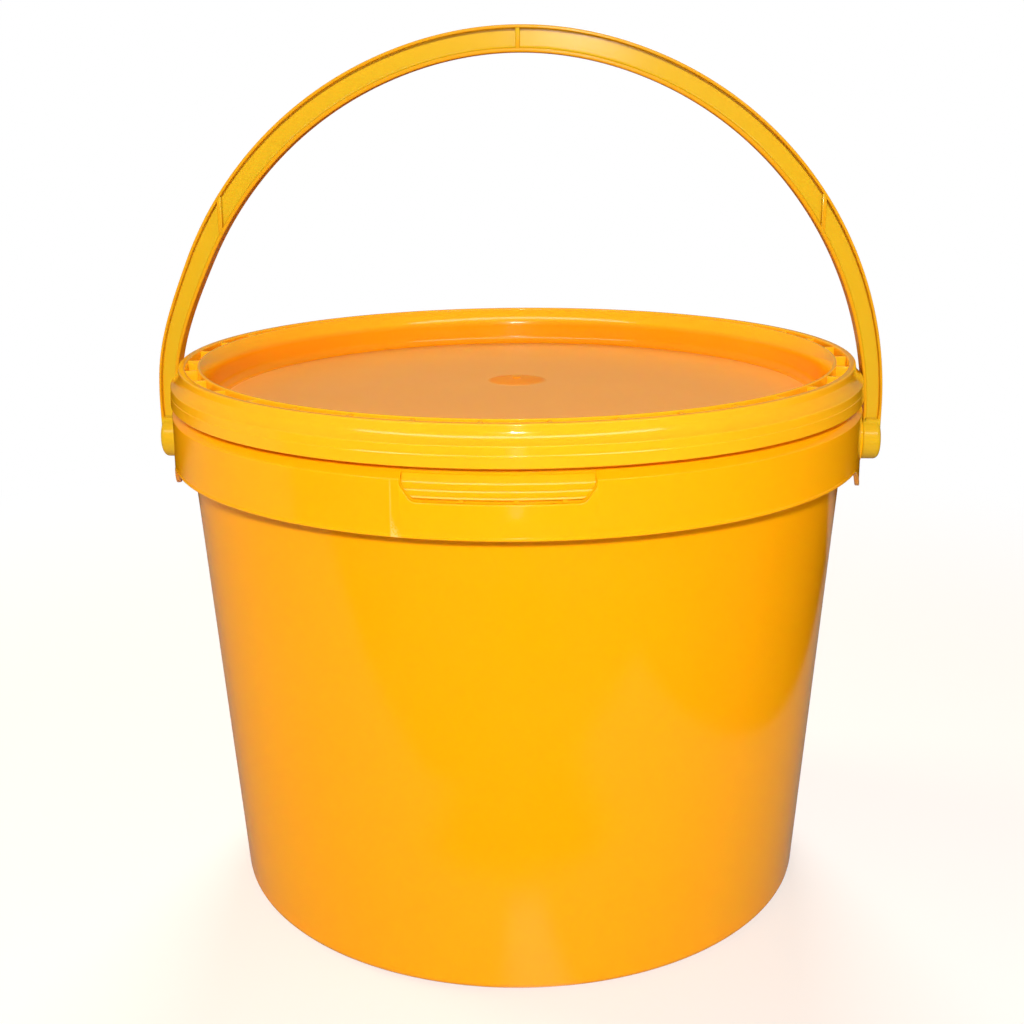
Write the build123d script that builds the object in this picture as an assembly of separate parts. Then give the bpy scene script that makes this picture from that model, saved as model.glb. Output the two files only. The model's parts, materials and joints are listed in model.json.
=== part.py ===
from build123d import *
import math
import os

# A 5 litre class honey pail: tapered pail with a deep collar, snap lid with a ribbed rim,
# swinging bail handle and a break-off tear tab in the front of the collar.
# Millimetres, +Z up, origin on the axis at the foot, tear tab towards -Y, bail pins on X.

# Pail body
pail_height = 168.8
foot_radius = 97.4
wall_taper = 3.83
wall_thickness = 1.4
foot_corner = 2.4
foot_width = 3.4
base_recess = 3.0
base_recess_draft = 1.0
base_thickness = 1.6
base_fillet = 5.0

# Rim and collar
rim_bead = 0.9
rim_edge_round = 0.8
shoulder_drop = 3.8
shoulder_fall = 2.6
shoulder_reach = 3.2
shoulder_thickness = 1.4
shoulder_bevel = 0.5
collar_depth = 15.9
collar_draft = 0.25
collar_thickness = 1.35
collar_edge_round = 0.45
gusset_count = 24
gusset_thickness = 1.2
gusset_depth = 10.0

# Ears that carry the bail
pin_rise = 2.0
ear_half_angle = 12.5
ear_drop = 8.5
ear_flare = 12.5
ear_corner_round = 5.0
ear_boss_radius = 8.6
ear_boss_proud = 1.25

# Front window and tear tab
window_half_width = 25.9
window_narrowing = 3.0
window_knee_drop = 1.6
window_depth = 5.9
window_corner_round = 2.4
window_root_gap = 0.3
tab_side_gap = 0.75
tab_bottom_gap = 1.1
tab_root_gap = 0.35
tab_top_drop = 0.5
tab_thickness = 1.2
tab_step_out = 0.5
tab_shoulder_drop = 0.8
tab_middle_height = 1.7
tab_lip_height = 0.6
bridge_angles = (-4.9, 2.5, 9.0)
bridge_width = 1.3
bridge_depth = 0.9
bridge_gap = 0.15

# Lid
lid_rise = 8.2
lid_shoulder_gap = 1.0
lid_proud = 0.2
skirt_draft = 0.4
skirt_thickness = 1.6
skirt_round = 0.5
flare_width = 2.4
flare_height = 3.35
flare_sag = 0.3
rim_wall_height = 2.0
rim_wall_draft = 0.3
land_width = 2.1
land_round = 0.5
channel_width = 3.8
channel_floor_thickness = 1.5
inner_ring_width = 3.45
ring_crest_width = 0.8
ring_crest_round = 0.4
ring_knee_depth = 6.0
ring_bulge = 0.5
recess_depth = 12.8
recess_draft = 0.15
recess_fillet = 4.8
recess_wall_thickness = 1.5
panel_crown = 3.5
panel_thickness = 1.4
rim_seat_gap = 0.3
relief_depth = 2.5
snap_bead_rise = 0.9
snap_bead_ramp = 1.6
snap_bead_gap = 0.4
seal_skirt_depth = 3.7
seal_skirt_gap = 0.45
seal_skirt_thickness = 1.2
rim_rib_count = 36
rim_rib_thickness = 1.2
rim_rib_drop = 1.0
rim_rib_phase = 7.4
gate_dome_radius = 10.0
gate_dome_height = 0.9
gate_nub_radius = 1.3
gate_nub_height = 0.3

# Bail handle
bail_arm_gap = 0.6
bail_arm_depth = 5.8
bail_spring_drop = 12.15
bail_inner_drop = 5.2
bail_inner_rise = 2.8
bail_width = 7.0
bail_web = 2.6
bail_outer_flange = 1.3
bail_inner_flange = 1.5
bail_rib_width = 1.4
bail_grip_angle = 33.3
bail_pocket_gap = 0.7
bail_boss_radius = 6.8
bail_boss_gap = 0.3
bail_edge_round = 0.5
pin_radius = 3.0
pin_clearance = 0.08
pin_head_lip = 1.1
pin_head_length = 1.6
pin_head_gap = 0.3

# The largest share of a wall that one of its two edge rounds may take
round_share = 0.42

# Pail heights and radii, worked out from the sizes above
slope = math.tan(math.radians(wall_taper))
base_top = base_recess + base_thickness
rim_radius = foot_radius + pail_height * slope + rim_bead
shoulder_root = pail_height - shoulder_drop
shoulder_height = shoulder_root - shoulder_fall
shoulder_underside = shoulder_height - shoulder_thickness
collar_bottom = shoulder_height - collar_depth
collar_top_radius = rim_radius + shoulder_reach
ear_bottom = collar_bottom - ear_drop
pin_height = collar_bottom + pin_rise
window_bottom = shoulder_height - window_depth
window_root_radius = rim_radius + window_root_gap
tab_bottom = window_bottom + tab_bottom_gap

# Lid heights and radii, from the rim it sits on and the collar it covers
rim_seat = pail_height + rim_seat_gap
channel_floor = rim_seat + channel_floor_thickness
lid_top = rim_seat + lid_rise
lid_bottom = shoulder_root + lid_shoulder_gap
flare_top = lid_top - rim_wall_height
skirt_top = flare_top - flare_height
lid_radius = collar_top_radius + lid_proud
skirt_top_radius = lid_radius - skirt_draft
flare_top_radius = skirt_top_radius - flare_width
land_outer = flare_top_radius - rim_wall_draft
land_inner = land_outer - land_width
channel_inner = land_inner - channel_width
ring_crest = channel_inner - ring_crest_width
ring_inner = channel_inner - inner_ring_width
ring_knee = lid_top - ring_knee_depth
recess_foot = ring_inner - recess_draft
panel_edge = lid_top - recess_depth


def wall_radius(height):
    return foot_radius + height * slope


def inner_wall_radius(height):
    return wall_radius(height) - wall_thickness


def collar_radius(height):
    return collar_top_radius + (shoulder_height - height) * collar_draft / collar_depth


# Bail sizes, from the ears that carry it and the lid it clears
ear_boss_face = collar_radius(pin_height) + ear_boss_proud
bail_boss_face = ear_boss_face + bail_boss_gap
bail_inner_radius = ear_boss_face + bail_arm_gap
bail_outer_radius = bail_inner_radius + bail_arm_depth
bail_centre = skirt_top - bail_spring_drop
bail_inner_centre = bail_centre - bail_inner_drop
bail_pocket_bottom = pin_height + bail_boss_radius + bail_pocket_gap


def turned(edges):
    return revolve(Plane.XZ * make_face(edges), Axis.Z)


def rounded(face, point, radius):
    corner = face.vertices().sort_by_distance(point)[0]
    return fillet(corner, radius)


def fitting(radius, wall):
    return min(radius, wall * round_share)


def along_pin(side, radius, start, end):
    plane = Plane((side * start, 0, pin_height), z_dir=(side, 0, 0))
    return plane * Cylinder(radius, end - start, align=(Align.CENTER, Align.CENTER, Align.MIN))


def window_prism(side_gap, bottom_gap):
    half = window_half_width - side_gap
    low_half = half - window_narrowing
    knee = shoulder_height - window_knee_drop
    low = window_bottom + bottom_gap
    outline = Polyline(
        (-half, lid_bottom),
        (-half, knee),
        (-low_half, low),
        (low_half, low),
        (half, knee),
        (half, lid_bottom),
        close=True,
    )
    face = make_face(outline)
    face = fillet(face.vertices().sort_by(Axis.Y)[:4], window_corner_round)
    return extrude(Plane.XZ * face, collar_radius(ear_bottom) + collar_thickness, dir=(0, -1, 0))


# Pail: one moulding of wall, base, collar and ears
def pail_shell():
    foot_inner = foot_radius - foot_corner - foot_width
    inner_rim = inner_wall_radius(pail_height)
    inner_foot = inner_wall_radius(base_top)
    collar_foot = collar_radius(collar_bottom)
    face = make_face(Polyline(
        (0, base_recess),
        (foot_inner - base_recess_draft, base_recess),
        (foot_inner, 0),
        (foot_radius, 0),
        (wall_radius(shoulder_underside), shoulder_underside),
        (collar_radius(shoulder_underside) - collar_thickness, shoulder_underside),
        (collar_foot - collar_thickness, collar_bottom),
        (collar_foot, collar_bottom),
        (collar_top_radius, shoulder_height),
        (rim_radius, shoulder_root),
        (rim_radius, pail_height),
        (inner_rim, pail_height),
        (inner_foot, base_top),
        (0, base_top),
        close=True,
    ))
    rim_round = fitting(rim_edge_round, rim_radius - inner_rim)
    face = rounded(face, (foot_radius, 0), foot_corner)
    face = rounded(face, (inner_foot, base_top), base_fillet)
    face = rounded(face, (collar_foot, collar_bottom), fitting(collar_edge_round, collar_thickness))
    crease = face.vertices().sort_by_distance((collar_top_radius, shoulder_height))[0]
    face = chamfer(crease, fitting(shoulder_bevel, shoulder_thickness))
    face = rounded(face, (rim_radius, pail_height), rim_round)
    face = rounded(face, (inner_rim, pail_height), rim_round)
    return revolve(Plane.XZ * face, Axis.Z)


def ear_tongue(side):
    half = collar_radius(ear_bottom) * math.sin(math.radians(ear_half_angle))
    face = make_face(Polyline(
        (-half - ear_flare, shoulder_underside),
        (-half - ear_flare, collar_bottom),
        (-half, ear_bottom),
        (half, ear_bottom),
        (half + ear_flare, collar_bottom),
        (half + ear_flare, shoulder_underside),
        close=True,
    ))
    face = fillet(face.vertices().sort_by(Axis.Y)[:2], ear_corner_round)
    prism = extrude(Plane.YZ * face, collar_radius(ear_bottom) + collar_thickness, dir=(side, 0, 0))
    skin = turned(Polyline(
        (collar_radius(ear_bottom) - collar_thickness, ear_bottom),
        (collar_radius(ear_bottom), ear_bottom),
        (collar_radius(shoulder_underside), shoulder_underside),
        (collar_radius(shoulder_underside) - collar_thickness, shoulder_underside),
        close=True,
    ))
    return skin & prism


def gusset(angle):
    low = shoulder_underside - gusset_depth
    inner = wall_radius(low) - wall_thickness / 2
    outer = collar_radius(shoulder_underside) - collar_thickness / 2
    plate = Box(
        gusset_thickness,
        outer - inner,
        gusset_depth + shoulder_thickness / 2,
        align=(Align.CENTER, Align.MIN, Align.MIN),
    )
    return Rot(0, 0, angle) * Pos(0, inner, low) * plate


def make_pail():
    collar_inner = collar_radius(pin_height) - collar_thickness
    pail = pail_shell()
    for side in (-1, 1):
        pail += ear_tongue(side)
        pail += along_pin(side, ear_boss_radius, collar_inner, ear_boss_face)
    step = 360 / gusset_count
    for number in range(gusset_count):
        pail += gusset((number + 0.5) * step)
    root = Cylinder(window_root_radius, lid_bottom, align=(Align.CENTER, Align.CENTER, Align.MIN))
    pail -= window_prism(0, 0) - root
    for side in (-1, 1):
        hole_start = collar_inner - collar_thickness
        pail -= along_pin(side, pin_radius + pin_clearance, hole_start, ear_boss_face + collar_thickness)
    return pail


# Tear tab: stepped strip in the front window, held by break bridges
def tab_section():
    root = window_root_radius + tab_root_gap
    fall = shoulder_fall / shoulder_reach
    root_height = shoulder_root - (root - rim_radius) * fall - tab_top_drop
    lip = collar_radius(tab_bottom)
    middle = lip - tab_step_out
    upper = middle - tab_step_out
    lip_height = tab_bottom + tab_lip_height
    middle_height = lip_height + tab_middle_height
    return Polyline(
        (root, root_height),
        (upper, shoulder_height - tab_shoulder_drop),
        (upper, middle_height),
        (middle, middle_height),
        (middle, lip_height),
        (lip, lip_height),
        (lip, tab_bottom),
        (lip - tab_thickness, tab_bottom),
        (upper - tab_thickness, lip_height),
        (upper - tab_thickness, shoulder_height - tab_shoulder_drop - tab_thickness),
        (root, root_height - tab_thickness),
        close=True,
    )


def make_tear_tab():
    strip = turned(tab_section()) & window_prism(tab_side_gap, tab_bottom_gap)
    low = window_bottom + bridge_gap
    bridge = Box(
        bridge_width,
        bridge_depth,
        tab_bottom + tab_lip_height / 2 - low,
        align=(Align.CENTER, Align.CENTER, Align.MIN),
    )
    for angle in bridge_angles:
        strip += Rot(0, 0, angle) * Pos(0, tab_thickness / 2 - collar_radius(tab_bottom), low) * bridge
    return strip


# Lid: crowned panel, recess wall, ribbed double ring and skirt
def cap_height(foot, reach, rise, radius):
    sphere = (reach ** 2 + rise ** 2) / (2 * rise)
    return foot + rise - sphere + math.sqrt(sphere ** 2 - radius ** 2)


def crown_height(radius):
    return cap_height(panel_edge, recess_foot, panel_crown, radius)


def gate_height(radius):
    return cap_height(crown_height(gate_dome_radius), gate_dome_radius, gate_dome_height, radius)


def lid_section():
    skirt_inner = lid_radius - skirt_thickness
    bead_height = lid_bottom + snap_bead_rise
    relief_outer = skirt_inner - rim_seat_gap
    relief_height = rim_seat + relief_depth
    seal_bottom = rim_seat - seal_skirt_depth
    seal_outer = inner_wall_radius(seal_bottom) - seal_skirt_gap
    seal_inner = seal_outer - seal_skirt_thickness
    plug_radius = recess_foot + recess_wall_thickness
    under_edge = panel_edge - panel_thickness
    flare_middle = (
        (flare_top_radius + skirt_top_radius) / 2 - flare_sag,
        (flare_top + skirt_top) / 2 - flare_sag,
    )
    dome_foot = crown_height(gate_dome_radius)
    dome_middle = (gate_nub_radius + gate_dome_radius) / 2
    nub_foot = gate_height(gate_nub_radius)
    nub_top = nub_foot + gate_nub_height
    nub = Polyline(
        (0, dome_foot - panel_thickness),
        (0, nub_top),
        (gate_nub_radius, nub_top),
        (gate_nub_radius, nub_foot),
    )
    gate = ThreePointArc(
        (gate_nub_radius, nub_foot),
        (dome_middle, gate_height(dome_middle)),
        (gate_dome_radius, dome_foot),
    )
    halfway = (gate_dome_radius + recess_foot) / 2
    halfway_height = crown_height(halfway)
    crown = ThreePointArc(
        (gate_dome_radius, dome_foot),
        (halfway, halfway_height),
        (recess_foot, panel_edge),
    )
    recess_wall = Line((recess_foot, panel_edge), (ring_inner, ring_knee))
    ring_middle = (
        (ring_inner + ring_crest) / 2 - ring_bulge,
        (ring_knee + lid_top + ring_bulge) / 2,
    )
    ring_face = ThreePointArc((ring_inner, ring_knee), ring_middle, (ring_crest, lid_top))
    rings = Polyline(
        (ring_crest, lid_top),
        (channel_inner, lid_top),
        (channel_inner, channel_floor),
        (land_inner, channel_floor),
        (land_inner, lid_top),
        (land_outer, lid_top),
        (flare_top_radius, flare_top),
    )
    flare = ThreePointArc((flare_top_radius, flare_top), flare_middle, (skirt_top_radius, skirt_top))
    underside = Polyline(
        (skirt_top_radius, skirt_top),
        (lid_radius, lid_bottom),
        (skirt_inner, lid_bottom),
        (rim_radius + snap_bead_gap, bead_height),
        (relief_outer, bead_height + snap_bead_ramp),
        (relief_outer, relief_height),
        (rim_radius + 2 * rim_seat_gap, relief_height),
        (rim_radius + rim_seat_gap, rim_seat),
        (seal_outer, rim_seat),
        (seal_outer, seal_bottom),
        (seal_inner, seal_bottom),
        (seal_inner, rim_seat),
        (plug_radius, rim_seat),
        (plug_radius, under_edge + recess_wall_thickness),
        (recess_foot, under_edge),
    )
    under = ThreePointArc(
        (recess_foot, under_edge),
        (halfway, halfway_height - panel_thickness),
        (gate_dome_radius, dome_foot - panel_thickness),
    )
    under_gate = Line((gate_dome_radius, dome_foot - panel_thickness), (0, dome_foot - panel_thickness))
    inside = nub + gate + crown + recess_wall + ring_face
    face = make_face(inside + rings + flare + underside + under + under_gate)
    ring_round = fitting(ring_crest_round, ring_crest_width)
    edge_round = fitting(land_round, land_width)
    face = rounded(face, (recess_foot, panel_edge), recess_fillet)
    face = rounded(face, (ring_crest, lid_top), ring_round)
    face = rounded(face, (channel_inner, lid_top), ring_round)
    face = rounded(face, (land_inner, lid_top), edge_round)
    face = rounded(face, (land_outer, lid_top), edge_round)
    face = rounded(face, (skirt_top_radius, skirt_top), fitting(skirt_round, skirt_thickness))
    return face


def make_lid():
    lid = revolve(Plane.XZ * lid_section(), Axis.Z)
    rib_low = channel_floor - channel_floor_thickness / 2
    rib = Box(
        rim_rib_thickness,
        channel_width + land_width,
        lid_top - rim_rib_drop - rib_low,
        align=(Align.CENTER, Align.CENTER, Align.MIN),
    )
    step = 360 / rim_rib_count
    for number in range(rim_rib_count):
        turn = Rot(0, 0, rim_rib_phase + number * step)
        lid += turn * Pos(0, -channel_inner - channel_width / 2, rib_low) * rib
    return lid


# Bail: flanged arch with a recessed web, round ends and inward pins
def arch_face(outer, inner):
    outer_arc = CenterArc((0, bail_centre), outer, 0, 180)
    rise = inner + bail_inner_rise
    inner_arc = EllipticalCenterArc((0, bail_inner_centre), inner, rise, start_angle=0, arc_size=180)
    right_arm = Polyline(
        (outer, bail_centre),
        (outer, pin_height),
        (inner, pin_height),
        (inner, bail_inner_centre),
    )
    left_arm = mirror(right_arm, Plane.YZ)
    return make_face(outer_arc + right_arm + inner_arc + left_arm)


def pocket_faces():
    pocket = arch_face(bail_outer_radius - bail_outer_flange, bail_inner_radius + bail_inner_flange)
    ends = Rectangle(2 * bail_outer_radius, bail_outer_radius, align=(Align.CENTER, Align.MAX))
    pocket -= Pos(0, bail_pocket_bottom) * ends
    middle = (bail_outer_radius + bail_inner_radius) / 2
    rib_offset = middle * math.cos(math.radians(bail_grip_angle))
    for side in (-1, 0, 1):
        rib = Rectangle(bail_rib_width, bail_outer_radius, align=(Align.CENTER, Align.MIN))
        pocket -= Pos(side * rib_offset, bail_centre) * rib
    return pocket.faces()


def bail_end(side):
    head_face = collar_radius(pin_height) - collar_thickness - pin_head_gap
    head_end = head_face - pin_head_length
    head_radius = pin_radius + pin_clearance + pin_head_lip
    boss = along_pin(side, bail_boss_radius, bail_boss_face, bail_outer_radius)
    pin = along_pin(side, pin_radius, head_end, bail_outer_radius - bail_outer_flange)
    head = along_pin(side, head_radius, head_end, head_face)
    return boss + pin + head


def make_bail():
    bail = extrude(Plane.XZ * arch_face(bail_outer_radius, bail_inner_radius), bail_width / 2, both=True)
    long_edges = bail.edges().filter_by(Axis.Y, reverse=True)
    bail = fillet(long_edges, fitting(bail_edge_round, bail_outer_flange))
    pockets = pocket_faces()
    for side in (-1, 1):
        floor = Plane.XZ.offset(side * bail_web / 2)
        for pocket in pockets:
            bail -= extrude(floor * pocket, bail_width, dir=(0, -side, 0))
        bail += bail_end(side)
    return bail


pieces = {
    "pail": make_pail(),
    "tear_tab": make_tear_tab(),
    "lid": make_lid(),
    "bail_handle": make_bail(),
}
os.makedirs("parts", exist_ok=True)
for name, solid in pieces.items():
    solid.label = name
    export_step(solid, f"parts/{name}.step")
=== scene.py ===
import json
import math
import bpy
import bmesh
from mathutils import Matrix, Vector


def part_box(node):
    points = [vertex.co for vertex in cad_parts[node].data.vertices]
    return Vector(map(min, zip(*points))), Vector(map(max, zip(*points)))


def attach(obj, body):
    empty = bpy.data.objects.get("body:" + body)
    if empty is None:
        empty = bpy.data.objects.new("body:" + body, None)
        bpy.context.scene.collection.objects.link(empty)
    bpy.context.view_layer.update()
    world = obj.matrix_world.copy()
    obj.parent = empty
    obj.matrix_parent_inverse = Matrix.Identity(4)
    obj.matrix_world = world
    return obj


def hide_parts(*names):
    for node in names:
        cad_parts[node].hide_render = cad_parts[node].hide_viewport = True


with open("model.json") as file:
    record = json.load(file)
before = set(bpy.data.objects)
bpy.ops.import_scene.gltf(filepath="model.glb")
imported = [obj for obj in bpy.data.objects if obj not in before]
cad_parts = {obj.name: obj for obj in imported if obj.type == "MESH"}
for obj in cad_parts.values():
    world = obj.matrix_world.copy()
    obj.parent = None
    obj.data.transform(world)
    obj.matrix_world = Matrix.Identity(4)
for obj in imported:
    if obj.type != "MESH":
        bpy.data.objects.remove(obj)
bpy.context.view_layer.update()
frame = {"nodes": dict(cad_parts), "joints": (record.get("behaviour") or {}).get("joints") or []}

mm = 0.001
weldGap = 0.002 * mm  # points closer than this are one
scene = bpy.context.scene
print("frame loaded:", ", ".join(sorted(frame["nodes"])))

# heights and radii that the pieces share, in millimetres, read from the frame
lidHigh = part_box("lid")[1] / mm
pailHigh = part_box("pail")[1] / mm
bailJoint = next(joint for joint in frame["joints"] if joint["name"] == "bail_swing")
pinHeight = bailJoint["pos_m"][2] / mm
rimHeight = pailHigh.z
lidTop = lidHigh.z
lidRadius = lidHigh.y


# mesh helpers

rounding = {"share": 0.44, "hold": 0.06, "holdShare": 0.04, "stepAngle": 16}


def roundedLine(corners, closed=False):
    # corners are (across, up, round); a point close beside each round keeps the flats flat
    line = []
    count = len(corners)
    for number, corner in enumerate(corners):
        here = Vector(corner[:2])
        radius = corner[2] if len(corner) > 2 else 0
        if radius == 0 or (not closed and number in (0, count - 1)):
            line.append(here)
            continue
        back = Vector(corners[number - 1][:2]) - here
        ahead = Vector(corners[(number + 1) % count][:2]) - here
        shorter = min(back.length, ahead.length)
        turn = math.pi - back.angle(ahead)
        share = math.tan(turn / 2)
        reach = min(radius * share, rounding["share"] * shorter)
        hold = min(rounding["hold"], rounding["holdShare"] * shorter)
        radius = reach / share
        back.normalize()
        ahead.normalize()
        middle = here + (back + ahead).normalized() * radius / math.cos(turn / 2)
        first = here + back * reach - middle
        last = here + ahead * reach - middle
        side = 1 if first.x * last.y - first.y * last.x > 0 else -1
        steps = max(3, math.ceil(math.degrees(turn) / rounding["stepAngle"]))
        line.append(here + back * (reach + hold))
        for step in range(steps + 1):
            angle = side * turn * step / steps
            line.append(middle + Matrix.Rotation(angle, 2) @ first)
        line.append(here + ahead * (reach + hold))
    return line


def bowed(start, end, bow, steps):
    # points between two ends of a shallow curve whose middle stands off by bow
    start, end = Vector(start), Vector(end)
    middle = (start + end) / 2 + Vector(bow) * 2
    shares = [k / steps for k in range(1, steps)]
    return [tuple(start * (1 - t) ** 2 + middle * 2 * t * (1 - t) + end * t ** 2) for t in shares]


def newPiece(name, mesh):
    piece = bpy.data.objects.new(name, mesh)
    scene.collection.objects.link(piece)
    return piece


def dropPiece(piece):
    mesh = piece.data
    bpy.data.objects.remove(piece)
    bpy.data.meshes.remove(mesh)


def meshFrom(name, points, faces, edges=()):
    mesh = bpy.data.meshes.new(name)
    mesh.from_pydata([Vector(point) * mm for point in points], list(edges), faces)
    mesh.update()
    return mesh


def settle(piece, crease=32):
    # welds, turns the faces outward, fills open ends and marks the creases
    work = bmesh.new()
    work.from_mesh(piece.data)
    bmesh.ops.remove_doubles(work, verts=work.verts, dist=weldGap)
    rims = [edge for edge in work.edges if edge.is_boundary]
    if rims:
        bmesh.ops.holes_fill(work, edges=rims, sides=0)
    bmesh.ops.recalc_face_normals(work, faces=work.faces)
    for face in work.faces:
        face.smooth = True
    work.to_mesh(piece.data)
    work.free()
    piece.data.set_sharp_from_angle(angle=math.radians(crease))
    return piece


def applied(piece):
    graph = bpy.context.evaluated_depsgraph_get()
    old = piece.data
    piece.data = bpy.data.meshes.new_from_object(piece.evaluated_get(graph))
    piece.modifiers.clear()
    piece.data.name = piece.name
    bpy.data.meshes.remove(old)
    return piece


def carve(piece, tool, operation):
    change = piece.modifiers.new(operation.lower(), "BOOLEAN")
    change.operation = operation
    change.solver = "EXACT"
    change.object = tool
    applied(piece)
    dropPiece(tool)
    return piece


def joined(name, pieces):
    work = bmesh.new()
    for piece in pieces:
        work.from_mesh(piece.data)
        dropPiece(piece)
    mesh = bpy.data.meshes.new(name)
    work.to_mesh(mesh)
    work.free()
    return newPiece(name, mesh)


def block(name, low, high, edgeRound):
    # a plate with softened edges, between two corners in millimetres
    xs, ys, zs = zip(low, high)
    points = [(x, y, z) for x in xs for y in ys for z in zs]
    faces = [(0, 1, 3, 2), (4, 6, 7, 5), (0, 4, 5, 1), (2, 3, 7, 6), (0, 2, 6, 4), (1, 5, 7, 3)]
    piece = newPiece(name, meshFrom(name, points, faces))
    soften = piece.modifiers.new("soften", "BEVEL")
    soften.width = edgeRound * mm
    soften.segments = 2
    applied(piece)
    return settle(piece)


def turnedAlongPin(name, line, side, steps=72):
    # a round body about the bail's pin axis, from (along, radius) points
    points, faces = [], []
    count = len(line)
    for step in range(steps):
        angle = 2 * math.pi * step / steps
        for along, radius in line:
            points.append((side * along, radius * math.sin(angle), pinHeight + radius * math.cos(angle)))
    for step in range(steps):
        a, b = step * count, (step + 1) % steps * count
        faces += [(a + k, b + k, b + k + 1, a + k + 1) for k in range(count - 1)]
    return settle(newPiece(name, meshFrom(name, points, faces)))


# node helpers

def feed(tree, socket, value):
    if isinstance(value, bpy.types.NodeSocket):
        tree.links.new(value, socket)
    else:
        socket.default_value = value


def addNode(tree, kind, values=None, **settings):
    # values go to the inputs, by name or number; those that are sockets are linked
    node = tree.nodes.new(kind)
    for key, value in settings.items():
        setattr(node, key, value)
    for key, value in (values or {}).items():
        feed(tree, node.inputs[key], value)
    return node


def calc(tree, operation, *values):
    return addNode(tree, "ShaderNodeMath", dict(enumerate(values)), operation=operation).outputs[0]


def times(tree, result, *others):
    for other in others:
        result = calc(tree, "MULTIPLY", result, other)
    return result


def plus(tree, result, *others):
    for other in others:
        result = calc(tree, "ADD", result, other)
    return result


def minus(tree, value, other):
    return calc(tree, "SUBTRACT", value, other)


def mapped(tree, value, fromLow, fromHigh, toLow=0.0, toHigh=1.0, smooth=True):
    values = {"Value": value, "From Min": fromLow, "From Max": fromHigh, "To Min": toLow, "To Max": toHigh}
    kind = "SMOOTHSTEP" if smooth else "LINEAR"
    return addNode(tree, "ShaderNodeMapRange", values, interpolation_type=kind).outputs["Result"]


def mixedColour(tree, share, first, second):
    return addNode(tree, "ShaderNodeMix", {"Factor": share, 6: first, 7: second}, data_type="RGBA").outputs[2]


def newTree(name, kind, inputs, outputs):
    tree = bpy.data.node_groups.new(name, kind)
    for label, socketKind in inputs:
        tree.interface.new_socket(label, in_out="INPUT", socket_type=socketKind)
    for label, socketKind in outputs:
        tree.interface.new_socket(label, in_out="OUTPUT", socket_type=socketKind)
    return tree, addNode(tree, "NodeGroupInput").outputs, addNode(tree, "NodeGroupOutput").inputs


def endTree(tree, geometry, plastic, result):
    real = addNode(tree, "GeometryNodeRealizeInstances", {"Geometry": geometry}).outputs[0]
    paint = addNode(tree, "GeometryNodeSetMaterial", {"Geometry": real, "Material": plastic}).outputs[0]
    feed(tree, result, paint)
    return tree


def grown(piece, tree, settings):
    # puts a tree on a piece, sets its inputs by identifier and keeps the result as a plain mesh
    modifier = piece.modifiers.new(tree.name, "NODES")
    modifier.node_group = tree
    for item in tree.interface.items_tree:
        if item.in_out == "INPUT" and item.name in settings:
            modifier[item.identifier] = settings[item.name]
    return applied(piece)


def makeTurnedTree():
    # turns a section round the axis; points marked as ear edge hang lower beside the two ears
    tree, given, result = newTree("turnedShell", "GeometryNodeTree", [
        ("Section", "NodeSocketGeometry"), ("Segments", "NodeSocketInt"),
        ("Start", "NodeSocketFloat"), ("Sweep", "NodeSocketFloat"),
        ("Ear Drop", "NodeSocketFloat"), ("Ear Half Angle", "NodeSocketFloat"),
        ("Ear Flare", "NodeSocketFloat"), ("Plastic", "NodeSocketMaterial"),
    ], [("Shell", "NodeSocketGeometry")])
    size = addNode(tree, "GeometryNodeAttributeDomainSize", {"Geometry": given["Section"]}, component="MESH")
    rows = size.outputs["Point Count"]
    columns = plus(tree, given["Segments"], 1.0)
    grid = addNode(tree, "GeometryNodeMeshGrid", {"Vertices X": columns, "Vertices Y": rows}).outputs["Mesh"]
    index = addNode(tree, "GeometryNodeInputIndex").outputs[0]
    column = calc(tree, "FLOOR", calc(tree, "DIVIDE", plus(tree, index, 0.5), rows))
    row = minus(tree, index, times(tree, column, rows))

    def fromSection(kind, value):
        values = {"Geometry": given["Section"], "Value": value, "Index": row}
        return addNode(tree, "GeometryNodeSampleIndex", values, data_type=kind).outputs[0]

    place = fromSection("FLOAT_VECTOR", addNode(tree, "GeometryNodeInputPosition").outputs[0])
    spot = addNode(tree, "ShaderNodeSeparateXYZ", {0: place}).outputs
    mark = addNode(tree, "GeometryNodeInputNamedAttribute", {"Name": "earEdge"}, data_type="FLOAT")
    edge = fromSection("FLOAT", mark.outputs["Attribute"])
    turnShare = calc(tree, "DIVIDE", column, given["Segments"])
    angle = plus(tree, given["Start"], times(tree, given["Sweep"], turnShare))
    sine = calc(tree, "SINE", angle)
    cosine = calc(tree, "COSINE", angle)
    fromEar = calc(tree, "ARCSINE", calc(tree, "ABSOLUTE", cosine))
    earEnd = plus(tree, given["Ear Half Angle"], given["Ear Flare"])
    hang = mapped(tree, fromEar, given["Ear Half Angle"], earEnd, given["Ear Drop"], 0.0)
    point = addNode(tree, "ShaderNodeCombineXYZ", {
        "X": times(tree, spot["X"], sine),
        "Y": times(tree, spot["X"], times(tree, cosine, -1.0)),
        "Z": minus(tree, spot["Z"], times(tree, hang, edge)),
    }).outputs[0]
    shell = addNode(tree, "GeometryNodeSetPosition", {"Geometry": grid, "Position": point}).outputs[0]
    weld = addNode(tree, "GeometryNodeMergeByDistance", {"Geometry": shell, "Distance": weldGap}).outputs[0]
    return endTree(tree, weld, given["Plastic"], result["Shell"])


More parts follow.
